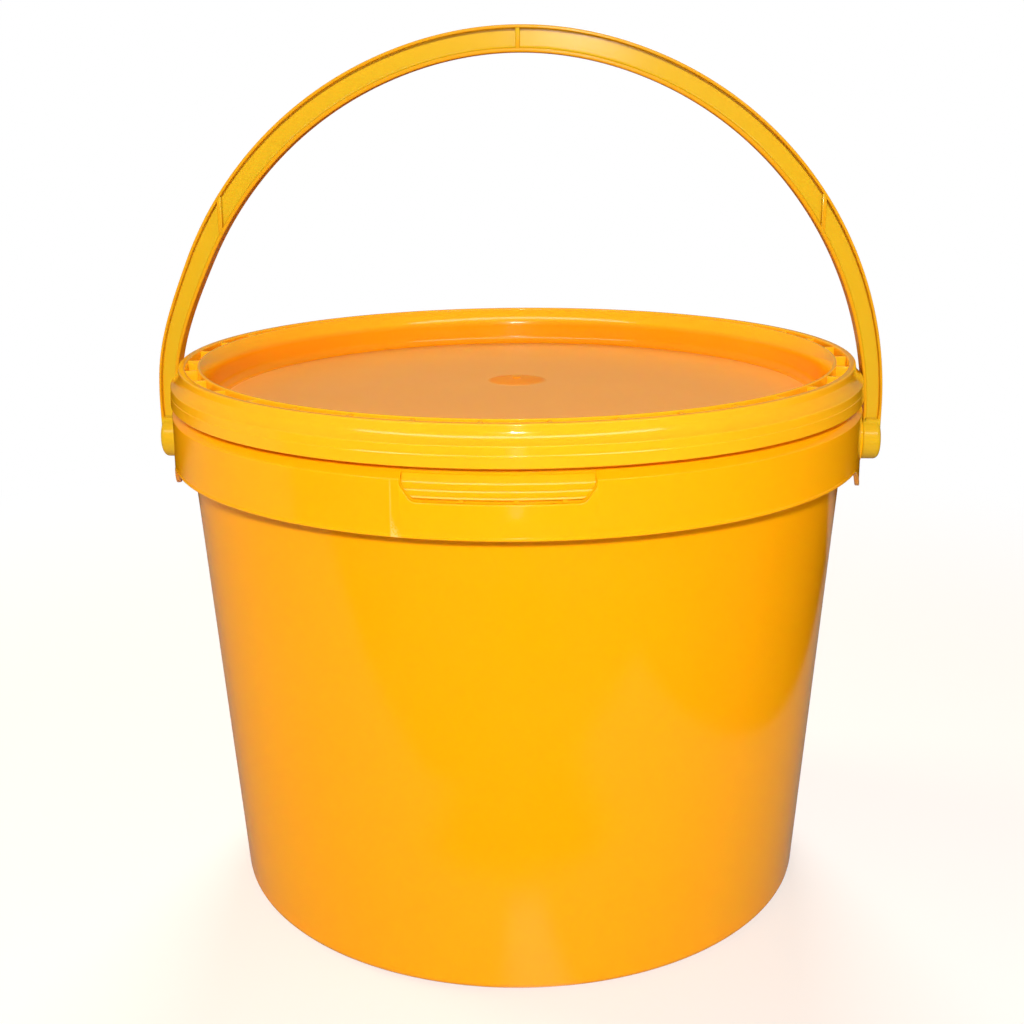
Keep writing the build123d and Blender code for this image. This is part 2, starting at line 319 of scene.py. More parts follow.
def makeRingTree():
    # repeats one plate round the axis
    tree, given, result = newTree("platesInRing", "GeometryNodeTree", [
        ("Plate", "NodeSocketGeometry"), ("Count", "NodeSocketInt"),
        ("Phase", "NodeSocketFloat"), ("Plastic", "NodeSocketMaterial"),
    ], [("Plates", "NodeSocketGeometry")])
    spots = addNode(tree, "GeometryNodePoints", {"Count": given["Count"]}).outputs[0]
    index = addNode(tree, "GeometryNodeInputIndex").outputs[0]
    pitch = calc(tree, "DIVIDE", 2 * math.pi, given["Count"])
    angle = plus(tree, given["Phase"], times(tree, index, pitch))
    turn = addNode(tree, "ShaderNodeCombineXYZ", {"Z": angle}).outputs[0]
    plates = addNode(tree, "GeometryNodeInstanceOnPoints", {
        "Points": spots, "Instance": given["Plate"], "Rotation": turn}).outputs[0]
    return endTree(tree, plates, given["Plastic"], result["Plates"])


turnedTree = makeTurnedTree()
ringTree = makeRingTree()
noEars = {"Ear Drop": 0.0, "Ear Half Angle": 0.1, "Ear Flare": 0.1}


def turnedPiece(name, line, material, segments, start=0.0, sweep=2 * math.pi, ears=noEars, earEdge=None):
    points = [(point.x, 0, point.y) for point in line]
    edges = [(k, k + 1) for k in range(len(points) - 1)]
    mesh = meshFrom(name, points, [], edges)
    marks = mesh.attributes.new("earEdge", "FLOAT", "POINT")
    if earEdge:
        for mark, point in zip(marks.data, line):
            mark.value = 1.0 if earEdge(point) else 0.0
    settings = {"Segments": segments, "Start": start, "Sweep": sweep, "Plastic": material, **ears}
    return settle(grown(newPiece(name, mesh), turnedTree, settings))


# materials

moulded = {
    "ior": 1.49, "glowRadius": (1.0, 0.36, 0.06), "glowScale": 5.0,
    "cloudScale": 26.0, "cloudDetail": 3.0, "cloudDrift": 0.35, "speckScale": 950.0, "speckDrift": 0.14,
    "peelScale": 260.0, "peelHeight": 0.5, "hairScale": 90.0, "hairDetail": 1.0, "hairRange": (0.66, 0.74),
    "hairTurn": (0.5, 0.3, 0.7), "hairStretch": (1.0, 14.0, 14.0), "patchScale": 34.0, "patchRange": (0.5, 0.7),
    "patchRough": 0.10, "scuffRough": 0.2, "scuffDepth": 0.12,
}


def objectSpot(tree):
    return addNode(tree, "ShaderNodeTexCoord").outputs["Object"]


def noise(tree, spot, scale, detail=2.0):
    values = {"Vector": spot, "Scale": scale, "Detail": detail}
    return addNode(tree, "ShaderNodeTexNoise", values, noise_dimensions="3D").outputs["Fac"]


def drift(tree, value, amount):
    # a noise as a change to either side of nought
    return times(tree, minus(tree, value, 0.5), amount)


def makeToneGroup():
    # cloudy colour of moulded polypropylene, with painted shade: a share of a deeper tone stands in for the light
    # lost where one slender wall has nothing behind it
    tree, given, result = newTree("mouldedTone", "ShaderNodeTree", [
        ("Tone", "NodeSocketColor"), ("Deep Tone", "NodeSocketColor"), ("Painted Shade", "NodeSocketFloat"),
    ], [("Colour", "NodeSocketColor")])
    spot = objectSpot(tree)
    cloud = drift(tree, noise(tree, spot, moulded["cloudScale"], moulded["cloudDetail"]), moulded["cloudDrift"])
    speck = drift(tree, noise(tree, spot, moulded["speckScale"]), moulded["speckDrift"])
    share = plus(tree, cloud, speck, given["Painted Shade"])
    feed(tree, result["Colour"], mixedColour(tree, share, given["Tone"], given["Deep Tone"]))
    return tree


def makeSurfaceGroup():
    # fine orange peel of the mould, hairline scuffs and the gloss that goes with them
    tree, given, result = newTree("mouldSurface", "ShaderNodeTree", [
        ("Gloss Roughness", "NodeSocketFloat"), ("Scuffs", "NodeSocketFloat"),
    ], [("Roughness", "NodeSocketFloat"), ("Height", "NodeSocketFloat")])
    spot = objectSpot(tree)
    stretch = addNode(tree, "ShaderNodeMapping", {
        "Vector": spot, "Rotation": moulded["hairTurn"], "Scale": moulded["hairStretch"]}, vector_type="POINT")
    hair = noise(tree, stretch.outputs[0], moulded["hairScale"], moulded["hairDetail"])
    patch = noise(tree, spot, moulded["patchScale"])
    lines = mapped(tree, hair, *moulded["hairRange"])
    areas = mapped(tree, patch, *moulded["patchRange"])
    scuff = times(tree, lines, areas, given["Scuffs"])
    patchy = drift(tree, patch, moulded["patchRough"])
    rubbed = times(tree, scuff, moulded["scuffRough"])
    feed(tree, result["Roughness"], plus(tree, patchy, rubbed, given["Gloss Roughness"]))
    peel = times(tree, noise(tree, spot, moulded["peelScale"]), moulded["peelHeight"])
    feed(tree, result["Height"], minus(tree, peel, times(tree, scuff, moulded["scuffDepth"])))
    return tree


toneGroup = makeToneGroup()
surfaceGroup = makeSurfaceGroup()


def startPlastic(name, finish):
    material = bpy.data.materials.new(name)
    material.use_nodes = True
    tree = material.node_tree
    shader = tree.nodes["Principled BSDF"]
    shader.inputs["IOR"].default_value = moulded["ior"]
    shader.inputs["Specular IOR Level"].default_value = finish["specular"]
    shader.inputs["Subsurface Weight"].default_value = finish["subsurface"]
    shader.inputs["Subsurface Radius"].default_value = moulded["glowRadius"]
    shader.inputs["Subsurface Scale"].default_value = moulded["glowScale"] * mm
    tone = addNode(tree, "ShaderNodeGroup", node_tree=toneGroup)
    tone.inputs["Tone"].default_value = (*finish["tone"], 1.0)
    tone.inputs["Deep Tone"].default_value = (*finish["deepTone"], 1.0)
    tone.inputs["Painted Shade"].default_value = finish["shadeShare"]
    surface = addNode(tree, "ShaderNodeGroup", node_tree=surfaceGroup)
    surface.inputs["Gloss Roughness"].default_value = finish["roughness"]
    surface.inputs["Scuffs"].default_value = finish["scuffs"]
    bump = addNode(tree, "ShaderNodeBump", {
        "Strength": 1.0, "Distance": finish["peel"] * mm, "Height": surface.outputs["Height"]})
    feed(tree, shader.inputs["Base Color"], tone.outputs["Colour"])
    feed(tree, shader.inputs["Roughness"], surface.outputs["Roughness"])
    feed(tree, shader.inputs["Normal"], bump.outputs["Normal"])
    return material, tone, surface


def axisDistance(tree):
    spot = addNode(tree, "ShaderNodeSeparateXYZ", {0: objectSpot(tree)}).outputs
    flat = addNode(tree, "ShaderNodeCombineXYZ", {"X": spot["X"], "Y": spot["Y"]}).outputs[0]
    length = addNode(tree, "ShaderNodeVectorMath", {0: flat}, operation="LENGTH")
    return length.outputs["Value"], spot


# pail

pail = {
    "footRadius": 97.4, "taper": 3.83, "wall": 1.4, "footRound": 4.0, "footWidth": 5.8,
    "baseRecess": 3.0, "baseDraft": 1.0, "baseThickness": 1.6, "baseFillet": 5.0, "baseRound": 0.6,
    "rimBead": 0.9, "rimRound": 0.8, "rimFillet": 0.4,
    "shoulderDrop": 3.8, "shoulderFall": 2.6, "shoulderReach": 3.2, "shoulderThickness": 1.4,
    "shoulderRound": 0.6, "wallFillet": 0.8, "collarFillet": 0.6,
    "collarDepth": 15.9, "collarDraft": 0.25, "collarThickness": 1.35, "collarRound": 0.35, "collarInner": 0.4,
    "collarLip": 0.14, "lipTop": 0.7, "lipEnd": 1.1, "lipRound": 0.3,
    "earDrop": 8.5, "earHalfAngle": 10.9, "earFlare": 9.8, "earEdgeIn": 0.5, "earEdgeUp": 2.0,
    "earBossRadius": 8.6, "earBossProud": 1.25, "earBossRoot": 0.2, "earBossRound": 0.5,
    "pinHole": 3.08, "pinHoleSteps": 48,
    "gussets": 24, "gussetThickness": 1.2, "gussetDepth": 10.0, "gussetOver": 0.7, "gussetRound": 0.2,
    "segments": 720,
}
window = {
    "halfWidth": 25.9, "narrowing": 3.0, "kneeDrop": 1.6, "depth": 5.9, "cornerRound": 2.4, "rootGap": 0.3,
    "kneeRun": 1.2, "topRun": 1.4, "edgeRound": 0.45, "edgeFlare": 0.45, "edgeOver": 0.1, "faceGap": 0.06,
    "grooveDepth": 1.05, "pocketSide": 0.33, "pocketBottom": 0.98,
}
witness = {
    "angle": -14.6, "halfWidth": 0.2, "strength": 0.3, "tone": (0.96, 0.50, 0.11),
    "scuffWidth": 3.4, "scuffHeight": 6.5, "scuffRange": (0.4, 1.1), "scuffSide": (-0.1, 0.15),
    "speckScale": 1800.0, "speckRange": (0.35, 0.6), "topRange": (15.4, 16.0),
}
pailFinish = {
    "tone": (0.95, 0.387, 0.002), "deepTone": (0.94, 0.35, 0.0006), "shadeShare": 0.85,
    "collarShadeShare": 0.1, "collarFrom": 1.0, "collarFull": 1.6,
    "roughness": 0.12, "scuffs": 0.15, "peel": 0.01, "specular": 0.4, "subsurface": 0.3,
}


def wallRadius(height):
    return pail["footRadius"] + height * math.tan(math.radians(pail["taper"]))


rimRadius = wallRadius(rimHeight) + pail["rimBead"]
shoulderRoot = rimHeight - pail["shoulderDrop"]
shoulderHeight = shoulderRoot - pail["shoulderFall"]
shoulderUnder = shoulderHeight - pail["shoulderThickness"]
collarBottom = shoulderHeight - pail["collarDepth"]
collarTop = rimRadius + pail["shoulderReach"]
windowRoot = rimRadius + window["rootGap"]


def collarRadius(height):
    return collarTop + (shoulderHeight - height) * pail["collarDraft"] / pail["collarDepth"]


def windowBlock(name, sideGap, bottomGap, layers):
    # a block through the collar with the window's outline; each layer is a radius and how far it spreads there
    half = window["halfWidth"] - sideGap
    low = shoulderHeight - window["depth"] + bottomGap
    knee = shoulderHeight - window["kneeDrop"]
    top = shoulderRoot + window["topRun"]
    lowHalf = half - window["narrowing"]
    corner = window["cornerRound"]
    outline = roundedLine([(-half, top), (-half, knee, corner), (-lowHalf, low, corner),
                           (lowHalf, low, corner), (half, knee, corner), (half, top)])[1:-1]
    edge = [Vector((-half, knee + window["kneeRun"]))]
    for here, ahead in zip(outline, outline[1:]):
        parts = max(1, round(ahead.x - here.x))  # about a millimetre each
        edge += [here.lerp(ahead, k / parts) for k in range(parts)]
    edge += [outline[-1], Vector((half, knee + window["kneeRun"]))]
    points, faces = [], []
    for k, spot in enumerate(edge):
        along = edge[min(k + 1, len(edge) - 1)] - edge[max(k - 1, 0)]
        outward = Vector((along.y, -along.x)).normalized()
        for radius, spread in layers:
            place = spot + outward * spread
            y = -math.sqrt(radius ** 2 - place.x ** 2)
            points += [(place.x, y, place.y), (place.x, y, top)]
    step = 2 * len(layers)
    front = step - 2
    for k in range(len(edge) - 1):
        a, b = step * k, step * (k + 1)
        faces += [(a, a + 1, b + 1, b), (a + front, b + front, b + front + 1, a + front + 1)]
        for layer in range(0, front, 2):
            c, d = a + layer, b + layer
            faces += [(c, d, d + 2, c + 2), (c + 1, c + 3, d + 3, d + 1)]
    last = step * (len(edge) - 1)
    for a in range(0, front, 2):
        b = last + a
        faces += [(a, a + 2, a + 3, a + 1), (b, b + 1, b + 3, b + 2)]
    return settle(newPiece(name, meshFrom(name, points, faces)))


def softEdge(radius, edgeRound):
    # layers that leave a rounded edge where the block comes out through a round wall
    turns = [math.radians(angle) for angle in (0, 25, 50, 75)]
    layers = [(radius - edgeRound * (1 - math.sin(turn)), edgeRound * (1 - math.cos(turn))) for turn in turns]
    return layers + [(radius + window["edgeOver"], layers[-1][1] + window["edgeFlare"])]


def makePailMaterial():
    material, tone = startPlastic("pailPlastic", pailFinish)[:2]
    tree = material.node_tree
    distance, spot = axisDistance(tree)
    # painted light: the collar, with the pail wall behind it, takes a smaller share of the deeper tone and reads
    # lighter than the single wall below, whose larger share is painted shade
    wallHere = wallRadius(shoulderUnder)
    onCollar = mapped(tree, distance, (wallHere + pailFinish["collarFrom"]) * mm,
                      (wallHere + pailFinish["collarFull"]) * mm)
    shadeShare = mapped(tree, onCollar, 0.0, 1.0, pailFinish["shadeShare"], pailFinish["collarShadeShare"], smooth=False)
    feed(tree, tone.inputs["Painted Shade"], shadeShare)
    # a witness line down the collar, scuffed pale where it meets the lower edge
    half = witness["halfWidth"]
    turn = calc(tree, "ARCTAN2", spot["X"], times(tree, spot["Y"], -1.0))
    along = times(tree, minus(tree, turn, math.radians(witness["angle"])), collarTop)
    rise = minus(tree, calc(tree, "DIVIDE", spot["Z"], mm), collarBottom)
    onLine = mapped(tree, calc(tree, "ABSOLUTE", along), half / 2, half * 1.5, witness["strength"], 0.0)
    reach = plus(tree, calc(tree, "DIVIDE", along, witness["scuffWidth"]),
                 calc(tree, "DIVIDE", rise, witness["scuffHeight"]))
    specks = noise(tree, objectSpot(tree), witness["speckScale"])
    scuffed = times(tree, mapped(tree, reach, *witness["scuffRange"], 1.0, 0.0),
                    mapped(tree, along, *witness["scuffSide"]), mapped(tree, specks, *witness["speckRange"]))
    share = times(tree, onCollar, calc(tree, "MAXIMUM", onLine, scuffed),
                  mapped(tree, rise, *witness["topRange"], 1.0, 0.0))
    pale = mixedColour(tree, share, tone.outputs["Colour"], (*witness["tone"], 1.0))
    feed(tree, tree.nodes["Principled BSDF"].inputs["Base Color"], pale)
    return material


def makePail():
    innerRim = wallRadius(rimHeight) - pail["wall"]
    baseTop = pail["baseRecess"] + pail["baseThickness"]
    footInner = pail["footRadius"] - pail["footWidth"]
    collarFoot = collarRadius(collarBottom)
    lip = collarFoot + pail["collarLip"]
    thick = pail["collarThickness"]
    line = roundedLine([
        (0, pail["baseRecess"]), (footInner - pail["baseDraft"], pail["baseRecess"], pail["baseRound"]),
        (footInner, 0, pail["baseRound"]), (pail["footRadius"], 0, pail["footRound"]),
        (wallRadius(shoulderUnder), shoulderUnder, pail["wallFillet"]),
        (collarRadius(shoulderUnder) - thick, shoulderUnder, pail["collarFillet"]),
        (collarFoot - thick, collarBottom, pail["collarInner"]), (lip, collarBottom, pail["collarRound"]),
        (lip, collarBottom + pail["lipTop"], pail["lipRound"]),
        (collarFoot, collarBottom + pail["lipEnd"], pail["lipRound"]),
        (collarTop, shoulderHeight, pail["shoulderRound"]), (rimRadius, shoulderRoot, pail["rimFillet"]),
        (rimRadius, rimHeight, pail["rimRound"]), (innerRim, rimHeight, pail["rimRound"]),
        (wallRadius(baseTop) - pail["wall"], baseTop, pail["baseFillet"]), (0, baseTop),
    ])
    material = makePailMaterial()
    ears = {
        "Ear Drop": pail["earDrop"] * mm,
        "Ear Half Angle": math.radians(pail["earHalfAngle"]),
        "Ear Flare": math.radians(pail["earFlare"]),
    }
    edgeFrom, edgeTo = collarFoot - thick - pail["earEdgeIn"], collarBottom + pail["earEdgeUp"]
    shell = turnedPiece("pailShell", line, material, pail["segments"], ears=ears,
                        earEdge=lambda point: point.x > edgeFrom and point.y < edgeTo)
    bossFace = collarRadius(pinHeight) + pail["earBossProud"]
    inside = collarRadius(pinHeight) - thick / 2
    boss = roundedLine([
        (inside, 0), (inside, pail["earBossRadius"], pail["earBossRoot"]),
        (bossFace, pail["earBossRadius"], pail["earBossRound"]), (bossFace, 0),
    ])
    holeFrom, holeTo = inside - 4, bossFace + 2  # well past both faces of the ear
    hole = [(holeFrom, 0), (holeFrom, pail["pinHole"]), (holeTo, pail["pinHole"]), (holeTo, 0)]
    for side in (-1, 1):
        carve(shell, turnedAlongPin("earBoss", boss, side), "UNION")
        carve(shell, turnedAlongPin("pinHole", hole, side, pail["pinHoleSteps"]), "DIFFERENCE")
    # a deep pocket behind the tab, and round it a shallow groove closed by a film that tears
    pocket = [(windowRoot, 0), (collarTop + 1, 0)]
    carve(shell, windowBlock("tabPocket", window["pocketSide"], window["pocketBottom"], pocket), "DIFFERENCE")
    face = collarTop + window["faceGap"]
    groove = [(face - window["grooveDepth"], 0)] + softEdge(face, window["edgeRound"])
    carve(shell, windowBlock("windowCut", 0, 0, groove), "DIFFERENCE")
    settle(shell)
    halfPlate = pail["gussetThickness"] / 2
    low = shoulderUnder - pail["gussetDepth"]
    plate = block("pailGussets", (-halfPlate, -collarRadius(shoulderUnder) + thick / 2, low),
                  (halfPlate, -wallRadius(low) + pail["wall"] / 2, shoulderUnder + pail["gussetOver"]),
                  pail["gussetRound"])
    pitch = 2 * math.pi / pail["gussets"]
    gussets = grown(plate, ringTree, {"Count": pail["gussets"], "Phase": pitch / 2, "Plastic": material})
    carve(gussets, windowBlock("gussetCut", 0, 0, [(windowRoot, 0), (collarTop + 4, 0)]), "DIFFERENCE")
    for piece in (shell, gussets):
        piece.data.materials.clear()
        piece.data.materials.append(material)
    return shell, settle(gussets)


pailShell, pailGussets = makePail()
print("pail made:", len(pailShell.data.polygons), "faces")


# lid

lid = {
    "shoulderGap": 1.0, "skirtDraft": 0.4, "skirtThickness": 1.6, "skirtRound": 0.55, "hemRound": 0.35,
    "hemInner": 0.3, "midLine": 0.12, "midRise": 0.6, "midShare": 0.6, "midStep": 0.25, "midRound": 0.1,
    "rise": 8.2, "flareWidth": 2.4, "flareHeight": 3.35, "flareSag": 0.3, "flareRound": 0.2, "flareSteps": 5,
    "rimWallHeight": 2.0, "rimWallDraft": 0.3, "landWidth": 2.1, "landRound": 0.5,
    "channelWidth": 3.8, "channelRound": 0.5, "floorThickness": 1.5,
    "ringWidth": 3.45, "crestWidth": 0.8, "crestRound": 0.3, "kneeDepth": 6.0, "ringBulge": 0.5, "ringSteps": 8,
    "recessDepth": 12.8, "recessDraft": 0.15, "recessFillet": 4.8, "recessThickness": 1.5,
    "crown": 3.5, "crownSteps": 12, "panelThickness": 1.4, "plugRound": 0.6,
    "seatGap": 0.3, "reliefDepth": 2.5, "beadRise": 0.9, "beadRamp": 1.6, "beadGap": 0.4,
    "sealDepth": 3.7, "sealGap": 0.45, "sealThickness": 1.2, "sealRound": 0.4,
    "gateRadius": 10.0, "gateRise": 0.9, "gateRound": 1.0, "gateSteps": 7,
    "nubRadius": 1.3, "nubHeight": 0.3, "nubRound": 0.2, "nubFillet": 0.15,
    "ribs": 36, "ribThickness": 1.2, "ribDrop": 0.4, "ribRoot": 0.75, "ribRound": 0.18, "ribPhase": 7.4,
    "segments": 450,
}
lidFinish = {
    "tone": (0.95, 0.43, 0.008), "deepTone": (0.90, 0.265, 0.0006), "shadeShare": 0.03,
    "recessShadeShare": 0.85, "recessFade": (-0.1, 0.6), "panelShadeShare": 0.97, "panelFade": (-4, -2),
    "panelRoughness": 0.35, "panelPaintedSheen": 0.74, "paintedSheenTone": (0.88, 0.40, 0.10), "gateFade": 1.5,
    "roughness": 0.12, "scuffs": 0.15, "peel": 0.01, "specular": 0.5, "subsurface": 0.3,
}
rimSeat = lidTop - lid["rise"]
channelFloor = rimSeat + lid["floorThickness"]
lidBottom = shoulderRoot + lid["shoulderGap"]
flareTop = lidTop - lid["rimWallHeight"]
skirtTop = flareTop - lid["flareHeight"]
skirtTopRadius = lidRadius - lid["skirtDraft"]
flareTopRadius = skirtTopRadius - lid["flareWidth"]
landOuter = flareTopRadius - lid["rimWallDraft"]
landInner = landOuter - lid["landWidth"]
channelInner = landInner - lid["channelWidth"]
ringCrest = channelInner - lid["crestWidth"]
ringInner = channelInner - lid["ringWidth"]
ringKnee = lidTop - lid["kneeDepth"]
recessFoot = ringInner - lid["recessDraft"]
panelEdge = lidTop - lid["recessDepth"]


def capHeight(foot, reach, rise, radius):
    sphere = (reach ** 2 + rise ** 2) / (2 * rise)
    return foot + rise - sphere + math.sqrt(sphere ** 2 - radius ** 2)


def crownHeight(radius):
    return capHeight(panelEdge, recessFoot, lid["crown"], radius)


def gateHeight(radius):
    return capHeight(crownHeight(lid["gateRadius"]), lid["gateRadius"], lid["gateRise"], radius)


def makeLidMaterial():
    material, tone, surface = startPlastic("lidPlastic", lidFinish)
    tree = material.node_tree
    distance = axisDistance(tree)[0]

    def inside(radius, fade):
        return mapped(tree, distance, (radius + fade[0]) * mm, (radius + fade[1]) * mm, 1.0, 0.0)

    # painted shade: the recess wall and the panel take a larger share of the deeper tone than the rest of the lid
    inRecess = inside(ringInner, lidFinish["recessFade"])
    onPanel = inside(recessFoot, lidFinish["panelFade"])
    recessWallShade = mapped(tree, inRecess, 0.0, 1.0, lidFinish["shadeShare"], lidFinish["recessShadeShare"], smooth=False)
    panelMore = times(tree, onPanel, lidFinish["panelShadeShare"] - lidFinish["recessShadeShare"])
    feed(tree, tone.inputs["Painted Shade"], plus(tree, recessWallShade, panelMore))
    # painted sheen: a pale peach veil laid over the panel's colour, left off the gate so that the gate reads darker
    offGate = mapped(tree, distance, (lid["gateRadius"] - lidFinish["gateFade"]) * mm, lid["gateRadius"] * mm)
    share = times(tree, onPanel, offGate, lidFinish["panelPaintedSheen"])
    paintedSheen = mixedColour(tree, share, tone.outputs["Colour"], (*lidFinish["paintedSheenTone"], 1.0))
    feed(tree, tree.nodes["Principled BSDF"].inputs["Base Color"], paintedSheen)
    satin = mapped(tree, onPanel, 0.0, 1.0, lidFinish["roughness"], lidFinish["panelRoughness"], smooth=False)
    feed(tree, surface.inputs["Gloss Roughness"], satin)
    return material


def makeLid():
    skirtInner = lidRadius - lid["skirtThickness"]
    beadHeight = lidBottom + lid["beadRise"]
    reliefOuter = skirtInner - lid["seatGap"]
    reliefHeight = rimSeat + lid["reliefDepth"]
    sealBottom = rimSeat - lid["sealDepth"]
    sealOuter = wallRadius(sealBottom) - pail["wall"] - lid["sealGap"]
    sealInner = sealOuter - lid["sealThickness"]
    plugRadius = recessFoot + lid["recessThickness"]
    underEdge = panelEdge - lid["panelThickness"]
    gate, nub = lid["gateRadius"], lid["nubRadius"]
    gateFoot = crownHeight(gate)
    gateUnder = gateFoot - lid["panelThickness"]
    nubFoot = gateHeight(nub)
    nubTop = nubFoot + lid["nubHeight"]
    gateRadii = [nub + (gate - nub) * k / lid["gateSteps"] for k in range(1, lid["gateSteps"])]
    radii = [gate + (recessFoot - gate) * k / lid["crownSteps"] for k in range(1, lid["crownSteps"])]
    midSkirt = (skirtTop + lidBottom) / 2 + lid["midRise"]
    midRadius = lidRadius - lid["skirtDraft"] * lid["midShare"]
    bulge, sag = lid["ringBulge"], lid["flareSag"]
    crest, land, channel = lid["crestRound"], lid["landRound"], lid["channelRound"]
    # the top, from the middle outward
    corners = [(0, nubTop), (nub, nubTop, lid["nubRound"]), (nub, nubFoot, lid["nubFillet"])]
    corners += [(radius, gateHeight(radius)) for radius in gateRadii]
    corners.append((gate, gateFoot, lid["gateRound"]))
    corners += [(radius, crownHeight(radius)) for radius in radii]
    corners += [(recessFoot, panelEdge, lid["recessFillet"]), (ringInner, ringKnee)]
    corners += bowed((ringInner, ringKnee), (ringCrest, lidTop), (-bulge, bulge / 2), lid["ringSteps"])
    corners += [(ringCrest, lidTop, crest), (channelInner, lidTop, crest), (channelInner, channelFloor, channel),
                (landInner, channelFloor, channel), (landInner, lidTop, land), (landOuter, lidTop, land),
                (flareTopRadius, flareTop, lid["flareRound"])]
    corners += bowed((flareTopRadius, flareTop), (skirtTopRadius, skirtTop), (-sag, -sag), lid["flareSteps"])
    corners += [(skirtTopRadius, skirtTop, lid["skirtRound"]), (midRadius, midSkirt, lid["midRound"]),
                (midRadius + lid["midLine"], midSkirt - lid["midStep"], lid["midRound"]),
                (lidRadius, lidBottom, lid["hemRound"])]
    # the underside, from the skirt inward
    corners += [(skirtInner, lidBottom, lid["hemInner"]), (rimRadius + lid["beadGap"], beadHeight),
                (reliefOuter, beadHeight + lid["beadRamp"]), (reliefOuter, reliefHeight),
                (rimRadius + 2 * lid["seatGap"], reliefHeight), (rimRadius + lid["seatGap"], rimSeat),
                (sealOuter, rimSeat), (sealOuter, sealBottom, lid["sealRound"]),
                (sealInner, sealBottom, lid["sealRound"]), (sealInner, rimSeat), (plugRadius, rimSeat),
                (plugRadius, underEdge + lid["recessThickness"], lid["plugRound"]),
                (recessFoot, underEdge, lid["plugRound"])]
    corners += [(radius, crownHeight(radius) - lid["panelThickness"]) for radius in reversed(radii)]
    corners += [(gate, gateUnder), (0, gateUnder)]
    material = makeLidMaterial()
    shell = turnedPiece("lidShell", roundedLine(corners), material, lid["segments"])
    halfRib, halfLand = lid["ribThickness"] / 2, lid["landWidth"] / 2
    plate = block("lidRibs", (-halfRib, -landInner - halfLand, channelFloor - lid["ribRoot"]),
                  (halfRib, -channelInner + halfLand, lidTop - lid["ribDrop"]), lid["ribRound"])
    ribs = settle(grown(plate, ringTree, {
        "Count": lid["ribs"], "Phase": math.radians(lid["ribPhase"]), "Plastic": material}))
    return shell, ribs


lidShell, lidRibs = makeLid()
print("lid made:", len(lidShell.data.polygons), "faces,", lid["ribs"], "ribs")


# tear tab

tab = {
    "sideGap": 0.45, "bottomGap": 1.1, "cutGap": 0.05, "rootGap": 0.35, "topDrop": 0.5, "thickness": 1.2,
    "stepOut": 0.5, "shoulderDrop": 0.8, "middleHeight": 1.7, "lipHeight": 0.6, "edgeRound": 0.28,
    "bevelDown": 0.38, "bevelBack": 0.215, "bevelRound": 0.06, "rootRound": 0.1, "backRound": 0.15,
    "bridges": (-4.9, 2.5, 9.0), "bridgeWidth": 1.3, "bridgeDepth": 0.7, "bridgeGap": 0.15, "bridgeRound": 0.12,
    "halfAngle": 15.0, "segments": 120,
}
tabFinish = {
    "tone": (0.95, 0.392, 0.003), "deepTone": (0.94, 0.355, 0.001), "shadeShare": 0.1,
    "roughness": 0.12, "scuffs": 0.15, "peel": 0.01, "specular": 0.35, "subsurface": 0.3,
}


def makeTab():
    material = startPlastic("tabPlastic", tabFinish)[0]
    root = windowRoot + tab["rootGap"]
    fall = pail["shoulderFall"] / pail["shoulderReach"]
    rootHeight = shoulderRoot - (root - rimRadius) * fall - tab["topDrop"]
    windowLow = shoulderHeight - window["depth"]
    low = windowLow + tab["bottomGap"]
    lip = collarRadius(low)
    middle = lip - tab["stepOut"]
    upper = middle - tab["stepOut"]
    shoulder = shoulderHeight - tab["shoulderDrop"]
    lipHeight = low + tab["lipHeight"]
    middleHeight = lipHeight + tab["middleHeight"]
    thick = tab["thickness"]
    down, back, edge = tab["bevelDown"], tab["bevelBack"], tab["bevelRound"]
    behind, rootRound = tab["backRound"], tab["rootRound"]
    ledge = shoulder + (rootHeight - shoulder) * back / (upper - root)
    line = roundedLine([
        (root, rootHeight, rootRound), (upper - back, ledge, edge), (upper, ledge - down, edge),
        (upper, middleHeight, edge), (middle - back, middleHeight, edge), (middle, middleHeight - down, edge),
        (middle, lipHeight, edge), (lip - back, lipHeight, edge), (lip, lipHeight - down, edge),
        (lip, low, tab["edgeRound"]), (lip - thick, low, behind), (upper - thick, lipHeight, behind),
        (upper - thick, shoulder - thick, behind), (root, rootHeight - thick, rootRound),
    ], closed=True)
    line.append(line[0])
    half = math.radians(tab["halfAngle"])
    strip = turnedPiece("tearTab", line, material, tab["segments"], start=-half, sweep=2 * half)
    layers = [(windowRoot - 1, 0), (lip + 2, 0)]
    outline = windowBlock("tabOutline", tab["sideGap"], tab["bottomGap"] - tab["cutGap"], layers)
    pieces = [carve(strip, outline, "INTERSECT")]
    halfWidth, halfDepth = tab["bridgeWidth"] / 2, tab["bridgeDepth"] / 2
    for angle in tab["bridges"]:
        bridge = block("bridge", (-halfWidth, thick / 2 - lip - halfDepth, windowLow + tab["bridgeGap"]),
                       (halfWidth, thick / 2 - lip + halfDepth, low + tab["lipHeight"] / 2), tab["bridgeRound"])
        bridge.data.transform(Matrix.Rotation(math.radians(angle), 4, "Z"))
        pieces.append(bridge)
    piece = settle(joined("tearTab", pieces))
    piece.data.materials.append(material)
    return piece


tearTab = makeTab()
print("tear tab made:", len(tearTab.data.polygons), "faces")


# bail handle

